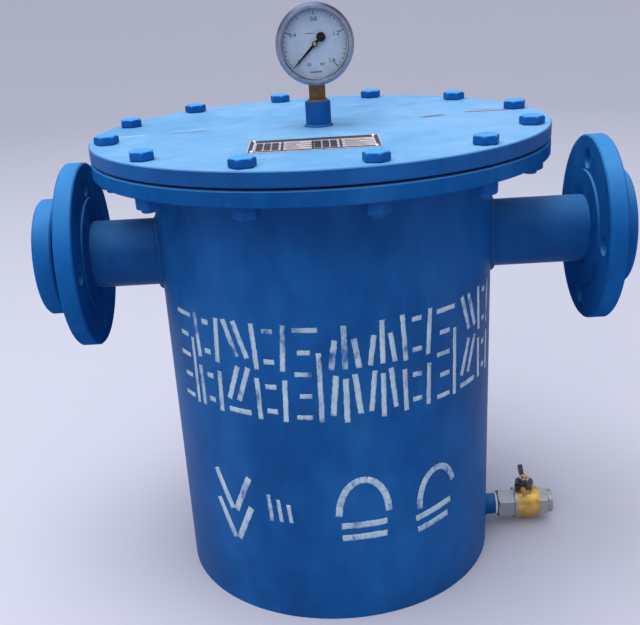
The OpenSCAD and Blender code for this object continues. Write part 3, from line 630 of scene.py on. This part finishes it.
def add_bolt(mesh, centre, bottom, top):
    """One hexagon bolt: domed and chamfered head, washer face, shank and thread with a bevelled end."""
    across_flats = 18 * MM
    corner = across_flats / 2 / math.cos(math.pi / 6)
    head = top - cover_top
    washer_face = 0.465 * across_flats
    shank = 6 * MM
    plain_length = 20 * MM
    pitch = 1.75 * MM
    root = shank - 0.6 * MM
    end_bevel = 0.8 * MM
    seat = 0.02 * MM
    sides = 48

    # Millimetres below the top, and radius as a share of the width across flats
    dome = ((0.35, 0.22), (0.10, 0.36), (0, 0.43), (0.35, 0.475), (0.9, 0.515))
    outline = [(top - drop * MM, share * across_flats) for drop, share in dome]
    outline += [(top - 1.7 * MM, corner), (top - 0.55 * head, corner), (cover_top + 0.75 * MM, corner)]
    outline += [(cover_top + 0.5 * MM, 0.47 * across_flats), (cover_top + seat, washer_face)]
    outline += [(cover_top + seat, shank)]
    thread_top = cover_top - plain_length
    for turn in range(int((thread_top - bottom) / pitch)):
        crest = thread_top - turn * pitch
        outline += [(crest, shank), (crest - 0.5 * pitch, root)]
    outline += [(bottom + 0.5 * MM, root), (bottom, root - end_bevel)]

    lean = math.atan2(centre.y, centre.x)
    rings = []
    for height, reach in outline:
        ring = []
        for angle in turns(sides):
            radius = min(reach, hex_reach(angle, across_flats))
            x = centre.x + radius * math.cos(angle + lean)
            y = centre.y + radius * math.sin(angle + lean)
            ring.append(Vector((x, y, height)))
        rings.append(ring)
    sweep(mesh, rings, closed=False)


def make_bolts():
    """All the cover's bolts in one piece, each where its CAD solid is."""
    crease = 28
    mesh = bmesh.new()
    for centre, low, high in solids("cover_bolts"):
        add_bolt(mesh, centre, low.z, high.z)
    add_piece("cover_bolt_set", mesh, "bolt_paint", "cover", ["cover_bolts"], sharp=crease)


# ---- Stencil marks on the shell ----

def on_shell(turn_length, height, lift):
    """A point on the shell: turn_length metres round from the front, at a height."""
    angle = turn_length / shell_radius
    radius = shell_radius + lift
    return Vector((radius * math.sin(angle), -radius * math.cos(angle), height))


def add_stroke(mesh, start, end, width, rough=0.5 * MM):
    """A flat stroke of paint from start to end, as (round, up) metres, with a ragged outline."""
    long_pitch, wide_pitch = 2 * MM, 1.6 * MM
    under, outer = 0.05 * MM, 0.22 * MM
    ragged = 420
    apart = Vector((9, 9, 9))
    start, end = Vector(start), Vector(end)
    along = end - start
    across = Vector((-along.y, along.x)).normalized() * width / 2
    long_steps = max(2, round(along.length / long_pitch))
    wide_steps = max(2, round(width / wide_pitch))
    sheets = []
    for lift in (under, outer):
        rows = []
        for i in range(long_steps + 1):
            row = []
            for j in range(wide_steps + 1):
                flat = start + along * (i / long_steps) + across * (2 * j / wide_steps - 1)
                if i in (0, long_steps) or j in (0, wide_steps):
                    seed = Vector((flat.x * ragged, flat.y * ragged, 0.5))
                    flat += Vector((noise.noise(seed), noise.noise(seed + apart))) * rough
                row.append(mesh.verts.new(on_shell(flat.x, flat.y, lift)))
            rows.append(row)
        sheets.append(rows)
    low, high = sheets
    for i in range(long_steps):
        for j in range(wide_steps):
            mesh.faces.new((high[i][j], high[i][j + 1], high[i + 1][j + 1], high[i + 1][j]))
            mesh.faces.new((low[i][j], low[i + 1][j], low[i + 1][j + 1], low[i][j + 1]))
    outline = [(i, 0) for i in range(long_steps)]
    outline += [(long_steps, j) for j in range(wide_steps)]
    outline += [(i, wide_steps) for i in range(long_steps, 0, -1)]
    outline += [(0, j) for j in range(wide_steps, 0, -1)]
    for (a, b), (c, d) in zip(outline, outline[1:] + outline[:1]):
        mesh.faces.new((low[a][b], low[c][d], high[c][d], high[a][b]))


def stencil_frame(mesh, x, base, tall, wide, stroke):
    """Two uprights with level bars between them, each cut by a stencil bridge."""
    reach = wide / 2 - 1.5 * stroke
    for side in (-1, 1):
        place = x + side * wide / 2
        lean = 0.03 * side * tall
        for low, high in ((0, 0.44), (0.53, 1)):
            add_stroke(mesh, (place, base + low * tall), (place + lean * high, base + high * tall), stroke)
    for share in (0.10, 0.36, 0.62, 0.93):
        level = base + share * tall
        add_stroke(mesh, (x - reach, level), (x + reach, level), stroke)


def stencil_splay(mesh, x, base, tall, wide, stroke):
    """An upright with two pairs of strokes that spread downward from it."""
    add_stroke(mesh, (x, base), (x, base + 0.46 * tall), stroke)
    add_stroke(mesh, (x, base + 0.56 * tall), (x, base + tall), stroke)
    for side in (-1, 1):
        for level, drop in ((0.86, 0.30), (0.50, 0.42)):
            top = (x + side * 1.6 * stroke, base + level * tall)
            add_stroke(mesh, top, (x + side * wide / 2, base + (level - drop) * tall), stroke)


def stencil_ladder(mesh, x, base, tall, wide, stroke):
    """A stack of short level bars beside an upright."""
    add_stroke(mesh, (x + wide / 2, base), (x + wide / 2, base + 0.72 * tall), stroke)
    for step in range(5):
        level = base + tall * (0.05 + 0.225 * step)
        inset = 0.16 * wide * (step % 2)
        reach = wide / 2 if step == 4 else wide / 2 - 1.6 * stroke
        add_stroke(mesh, (x - wide / 2 + inset, level), (x + reach, level), stroke)


def stencil_chevrons(mesh, x, base, tall, wide, stroke):
    """Two chevrons that point along the flow, over a level bar."""
    add_stroke(mesh, (x - wide / 2, base + 0.04 * tall), (x + wide / 2, base + 0.04 * tall), stroke)
    for step in (0, 1):
        tip = x + (0.05 + 0.45 * step) * wide
        back = tip - 0.5 * wide
        for side in (-1, 1):
            low = base + tall * (0.57 + 0.05 * side)
            high = base + tall * (0.57 + 0.42 * side)
            add_stroke(mesh, (back, high), (tip, low), stroke)


def painted_arc(mesh, centre, reach, start, end, width):
    """A hand-painted arc round centre, reach across and up, from start to end in degrees."""
    step_angle = 16
    overlap = 0.03
    steps = round(abs(end - start) / step_angle)
    for step in range(steps):
        ends = []
        for share in (step, step + 1 + overlap):
            turn = math.radians(start + (end - start) * share / steps)
            ends.append((centre[0] + reach[0] * math.cos(turn), centre[1] + reach[1] * math.sin(turn)))
        add_stroke(mesh, *ends, width, rough=0.2 * MM)


def make_stencil_band():
    """A band of worn stencil marks round the front of the shell."""
    base = 0.48 * cover_top
    tall = 0.205 * cover_top
    pitch = 31 * MM
    shift = 10 * MM
    marks = (
        stencil_ladder, stencil_frame, stencil_chevrons, stencil_frame, stencil_ladder, stencil_splay,
        stencil_splay, stencil_frame, stencil_ladder, stencil_chevrons, stencil_frame,
    )
    mesh = bmesh.new()
    for place, draw in enumerate(marks):
        seed = Vector((place * 1.7, 0.3, 0.9))
        wide = (22 + 3 * noise.noise(seed)) * MM
        stroke = (4.4 + 0.9 * noise.noise(seed + UP)) * MM
        drop = 4 * MM * noise.noise(seed + RIGHT)
        x = shift + (place - (len(marks) - 1) / 2) * pitch
        draw(mesh, x, base + drop, tall, wide, stroke)
    add_piece("stencil_band", mesh, "stencil_white", "vessel")


def brushed_chevrons(mesh, x, level, brush):
    """Two V shapes, one under the other."""
    for drop in (0, 30 * MM):
        for side in (-1, 1):
            top = (x + side * 19 * MM, level + 26 * MM - drop)
            tip = (x + side * 2 * MM, level - 10 * MM - drop)
            add_stroke(mesh, top, tip, brush)


def brushed_tally(mesh, x, level, brush):
    """Three short upright strokes."""
    for step in (-1, 0, 1):
        place = x + step * 9 * MM
        add_stroke(mesh, (place, level + (10 - 4 * step) * MM), (place + 2 * MM, level - 12 * MM), brush)


def brushed_bars(mesh, x, level, bars, brush):
    """Strokes under an arc, each given by its two ends in millimetres from (x, level)."""
    for bar in bars:
        ends = [(x + across * MM, level + up * MM) for across, up in bar]
        add_stroke(mesh, *ends, brush)


def make_hand_marks():
    """Strokes painted by hand below the stencil band."""
    brush = 6 * MM
    level = 0.27 * cover_top
    mesh = bmesh.new()
    brushed_chevrons(mesh, -0.67 * shell_radius, level, brush)
    brushed_tally(mesh, -0.36 * shell_radius, level, 0.6 * brush)
    x = 0.14 * shell_radius
    painted_arc(mesh, (x, level - 4 * MM), (22 * MM, 34 * MM), 0, 180, brush)
    brushed_bars(mesh, x, level, (((-20, -14), (20, -14)), ((-20, -26), (20, -26))), brush)
    x = 0.62 * shell_radius
    painted_arc(mesh, (x, level - 6 * MM), (20 * MM, 30 * MM), 20, 190, brush)
    brushed_bars(mesh, x, level, (((-24, -20), (16, -14)), ((-22, -32), (12, -27))), brush)
    add_piece("hand_marks", mesh, "stencil_white", "vessel")


# ---- Gauge face ----

ZERO = 225
SWEEP = 270
INK = 0.03 * MM


def on_dial(radius, share):
    """A point on the dial's face at a share of the scale, from nought to one."""
    angle = math.radians(ZERO - SWEEP * share)
    x = gauge_centre.x + radius * math.cos(angle)
    return Vector((x, dial_front, gauge_centre.z + radius * math.sin(angle)))


def make_dial_scale():
    """The scale's ticks and arc and the dial's blank marks, as thin raised print."""
    lift = FRONT * INK
    outer = 0.90 * dial_radius
    mesh = bmesh.new()

    def bar(start, end, half_width, stretch=1):
        along = (end - start) / 2 * stretch
        across = along.normalized().cross(FRONT) * half_width
        add_block(mesh, (start + end) / 2 + lift, along, across, lift)

    divisions = 32
    for step in range(divisions + 1):
        length, half_width = 1.7 * MM, 0.2 * MM
        if step % 4 == 0:
            length = 2.8 * MM
        if step % 8 == 0:
            length, half_width = 4.2 * MM, 0.38 * MM
        bar(on_dial(outer - length, step / divisions), on_dial(outer, step / divisions), half_width)

    arc_steps = 90
    for step in range(arc_steps):
        start, end = on_dial(outer, step / arc_steps), on_dial(outer, (step + 1) / arc_steps)
        bar(start, end, 0.15 * MM, stretch=1.02)

    # Place in shares of the dial's radius, then half-width and half-height in millimetres
    blanks = (
        (0, -0.76, 5.0, 0.45),
        (-0.19, -0.55, 1.7, 0.9),
        (0.19, -0.55, 1.7, 0.9),
        (-0.13, 0.28, 3.6, 0.3),
    )
    for across, up, half_wide, half_high in blanks:
        place = gauge_centre + (RIGHT * across + UP * up) * dial_radius
        place.y = dial_front
        add_block(mesh, place + lift, RIGHT * half_wide * MM, UP * half_high * MM, lift)
    add_piece("dial_scale", mesh, "print_grey", "cover", smooth=False)


def make_dial_figures():
    """The scale's numbers, as thin raised print."""
    figures = ("0", "0.4", "0.8", "1.2", "1.6")
    for step, words in enumerate(figures):
        figure = bpy.data.curves.new(f"figure_{step}", "FONT")
        figure.body = words
        figure.size = 4.6 * MM
        figure.extrude = INK
        figure.offset = 0.1 * MM
        figure.align_x = figure.align_y = "CENTER"
        source = bpy.data.objects.new("figure_source", figure)
        bpy.context.scene.collection.objects.link(source)
        place = on_dial(0.66 * dial_radius, step / (len(figures) - 1)) + FRONT * INK
        source.matrix_world = Matrix.Translation(place) @ Matrix.Rotation(math.radians(90), 4, "X")
        bpy.context.view_layer.update()
        shaped = source.evaluated_get(bpy.context.evaluated_depsgraph_get())
        data = bpy.data.meshes.new_from_object(shaped)
        data.transform(source.matrix_world)
        bpy.data.objects.remove(source)
        mesh = bmesh.new()
        mesh.from_mesh(data)
        add_piece(f"dial_figure_{step}", mesh, "print_grey", "cover", smooth=False)


def pointer_outline():
    """The plate's outline as (along, across): needle, hub and counterweight, then its mirror image."""
    needle, hub, neck = 24 * MM, 2.3 * MM, 0.9 * MM
    weight, weight_place = 3.8 * MM, -7.5 * MM
    on_axis = 0.001 * MM
    steps = 12
    half = [(needle, 0.35 * MM), (0.6 * needle, 0.8 * MM), (hub, 1.1 * MM)]
    hub_start, hub_turn = 40, 100
    for k in range(steps + 1):
        turn = math.radians(hub_start + hub_turn * k / steps)
        half.append((hub * math.cos(turn), hub * math.sin(turn)))
    neck_angle = math.asin(neck / weight)
    for k in range(2 * steps + 1):
        turn = neck_angle + (math.pi - neck_angle) * k / (2 * steps)
        half.append((weight_place + weight * math.cos(turn), weight * math.sin(turn)))
    return half + [(x, -y) for x, y in reversed(half) if abs(y) > on_axis]


def make_pointer():
    """The pointer as a pressed plate: a tapered needle, a hub and a round counterweight."""
    low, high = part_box("gauge_pointer")
    angle = math.radians(ZERO)
    along = Vector((math.cos(angle), 0, math.sin(angle)))
    across = FRONT.cross(along)
    outline = pointer_outline()
    mesh = bmesh.new()
    sheets = []
    for depth in (low.y, high.y):
        centre = Vector((gauge_centre.x, depth, gauge_centre.z))
        sheets.append([mesh.verts.new(centre + along * x + across * y) for x, y in outline])
    for k in range(len(outline)):
        j = (k + 1) % len(outline)
        mesh.faces.new((sheets[0][k], sheets[0][j], sheets[1][j], sheets[1][k]))
    mesh.faces.new(sheets[0])
    mesh.faces.new(sheets[1][::-1])
    add_piece(
        "pointer_plate", mesh, "pointer_black", "pointer", ["gauge_pointer"], smooth=False,
    )


def make_pointer_cap():
    """Turned brass cap pressed on the pointer's hub."""
    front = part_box("pinion")[0].y
    # Radius, and distance in front of the pinion's end, in millimetres
    profile = ((1.0, 0.30), (1.5, 0.10), (1.7, -0.3), (1.7, -0.9))
    sides = 28
    rings = []
    for radius, out in profile:
        ring = []
        for turn in turns(sides):
            x = gauge_centre.x + radius * MM * math.cos(turn)
            z = gauge_centre.z + radius * MM * math.sin(turn)
            ring.append(Vector((x, front - out * MM, z)))
        rings.append(ring)
    mesh = bmesh.new()
    sweep(mesh, rings, closed=False)
    add_piece("pointer_cap", mesh, "turned_brass", "pointer")


# ---- Nameplate ----

def make_plate_print():
    """Black border, table lines and blank filled cells on the metal plate, in shares of its size."""
    ink = 0.04 * MM
    wide, deep = plate_high.x - plate_low.x, plate_high.y - plate_low.y
    mesh = bmesh.new()

    def bar(x0, y0, x1, y1):
        low = Vector((plate_low.x + x0 * wide, plate_low.y + y0 * deep, plate_high.z))
        high = Vector((plate_low.x + x1 * wide, plate_low.y + y1 * deep, plate_high.z))
        half = (high - low) / 2
        add_block(mesh, low + half + UP * ink, RIGHT * half.x, Vector((0, half.y, 0)), UP * ink)

    left, front = 0.008, 0.016
    inner_left, inner_front = left + 0.030, front + 0.075
    bar(left, front, 1 - left, inner_front)
    bar(left, 1 - inner_front, 1 - left, 1 - front)
    bar(left, inner_front, inner_left, 1 - inner_front)
    bar(1 - inner_left, inner_front, 1 - left, 1 - inner_front)

    rows = 4
    table_low, table_high = 0.10, 0.74
    row = (table_high - table_low) / rows
    table_left, table_right = 0.05, 0.95
    columns = (table_left, 0.26, 0.49, 0.70)
    half_rule, half_column = 0.014, 0.009
    cell_pitch, cell_wide, cell_gap, cell_start = 0.060, 0.050, 0.022, 0.012
    entry_start, entry_low, entry_high = 0.03, 0.065, 0.090
    for k in range(rows):
        y = table_low + k * row
        if k:
            bar(table_left, y - half_rule, table_right, y + half_rule)
        for column in (columns[0], columns[2]):
            for part in range(3):
                x = column + cell_start + cell_pitch * part
                bar(x, y + cell_gap, x + cell_wide, y + row - cell_gap)
        for column, longest in ((columns[1], 0.10), (columns[3], 0.16)):
            x = column + entry_start
            bar(x, y + entry_low, x + longest * (1 - 0.14 * (k % 3)), y + entry_high)
    for x in columns[1:]:
        bar(x - half_column, table_low, x + half_column, table_high)
    title_low, title_high = 0.775, 0.90
    bar(table_left, title_low, table_right, title_high)
    add_piece("plate_print", mesh, "print_black", "cover", smooth=False)


# ---- CAD nodes ----

def finish_cad_nodes():
    """Gives every CAD node the procedural finish of its record slot; the flanges are painted dull."""
    slots = {row["node"]: row["material_slot"] for row in frame["record"]["subparts"]}
    dull = ("inlet_loose_flange", "outlet_loose_flange", "inlet_stub_ring", "outlet_stub_ring", "body_flange")
    for name, node in frame["nodes"].items():
        node.data.materials.clear()
        node.data.materials.append(finish["flange_paint" if name in dull else slots[name]])


# ---- Studio ----

def make_floor():
    """A round pale floor that curves up into a wall all round, far behind the camera too."""
    flat_radius, bend, wall_height = 3.2, 2.4, 4.0
    pale_grey = (0.54, 0.54, 0.62, 1)
    profile = [(0.01, 0.0), (1.0, 0.0), (flat_radius, 0.0)]
    bend_steps = 14
    for step in range(1, bend_steps + 1):
        turn = math.pi / 2 * step / bend_steps
        profile.append((flat_radius + bend * math.sin(turn), bend * (1 - math.cos(turn))))
    profile.append((flat_radius + bend, wall_height))
    sides = 96
    mesh = bmesh.new()
    rows = []
    for radius, height in profile:
        points = [(radius * math.cos(turn), radius * math.sin(turn), height) for turn in turns(sides)]
        rows.append([mesh.verts.new(point) for point in points])
    mesh.faces.new(rows[0])
    for inner, outer in zip(rows, rows[1:]):
        for k in range(sides):
            j = (k + 1) % sides
            mesh.faces.new((inner[k], outer[k], outer[j], inner[j]))
    pale = Surface("floor_pale", Roughness=0.9, Specular_IOR_Level=0.1)
    pale.set("Base Color", pale_grey)
    floor = new_object("floor", mesh, pale.material)


def make_light(name, place, target, width, height, power, colour):
    """A rectangular lamp of the given watts that shines from place at target."""
    light = bpy.data.lights.new(name, "AREA")
    light.shape = "RECTANGLE"
    light.size, light.size_y = width, height
    light.energy = power
    light.color = colour
    lamp = bpy.data.objects.new(name, light)
    lamp.location = place
    lamp.rotation_euler = (Vector(target) - Vector(place)).to_track_quat("-Z", "Y").to_euler()
    bpy.context.scene.collection.objects.link(lamp)


def make_studio():
    """Floor, even cool light from all round, a large lamp overhead and a weak one from the front left."""
    sky, sky_strength = (0.90, 0.93, 1.0, 1), 0.95
    cool, warm = (0.97, 0.98, 1.0), (1.0, 0.98, 0.96)
    make_floor()
    # Keeps the paint as saturated as its own colour
    bpy.context.scene.view_settings.view_transform = "Standard"
    world = bpy.data.worlds.new("studio")
    bpy.context.scene.world = world
    world.use_nodes = True
    background = world.node_tree.nodes["Background"]
    background.inputs["Color"].default_value = sky
    background.inputs["Strength"].default_value = sky_strength
    make_light("overhead", (-0.5, -0.2, 3.2), (0, 0, 0.4), width=2.2, height=2.2, power=70, colour=cool)
    make_light("key", (-0.8, -1.9, 1.8), (0, 0, 0.25), width=1.1, height=1.2, power=14, colour=warm)


def make_camera():
    """Stands in front, above the cover, and looks down and slightly to the left, tilted a little."""
    turn, yaw, pitch, roll = (math.radians(angle) for angle in (0.35, 0.81, 23.53, -3.32))
    away, above_cover = 0.840, 0.1243
    camera = bpy.data.cameras.new("camera")
    camera.lens = 52.9
    camera.sensor_width = 36
    camera.shift_y = 0.105
    ahead = Vector((-math.sin(yaw) * math.cos(pitch), math.cos(yaw) * math.cos(pitch), -math.sin(pitch)))
    level = ahead.cross(UP).normalized()
    over = level.cross(ahead)
    right = level * math.cos(roll) + over * math.sin(roll)
    up = over * math.cos(roll) - level * math.sin(roll)
    stand = FRONT * away + UP * (cover_top + above_cover)
    axes = Matrix((right, up, -ahead)).transposed().to_4x4()
    viewer = bpy.data.objects.new("camera", camera)
    viewer.matrix_world = Matrix.Rotation(-turn, 4, "Z") @ Matrix.Translation(stand) @ axes
    bpy.context.scene.collection.objects.link(viewer)
    bpy.context.scene.camera = viewer


make_camera()
make_studio()
finish_cad_nodes()
make_welds()
make_bolts()
make_stencil_band()
make_hand_marks()
make_dial_scale()
make_dial_figures()
make_pointer()
make_pointer_cap()
make_plate_print()
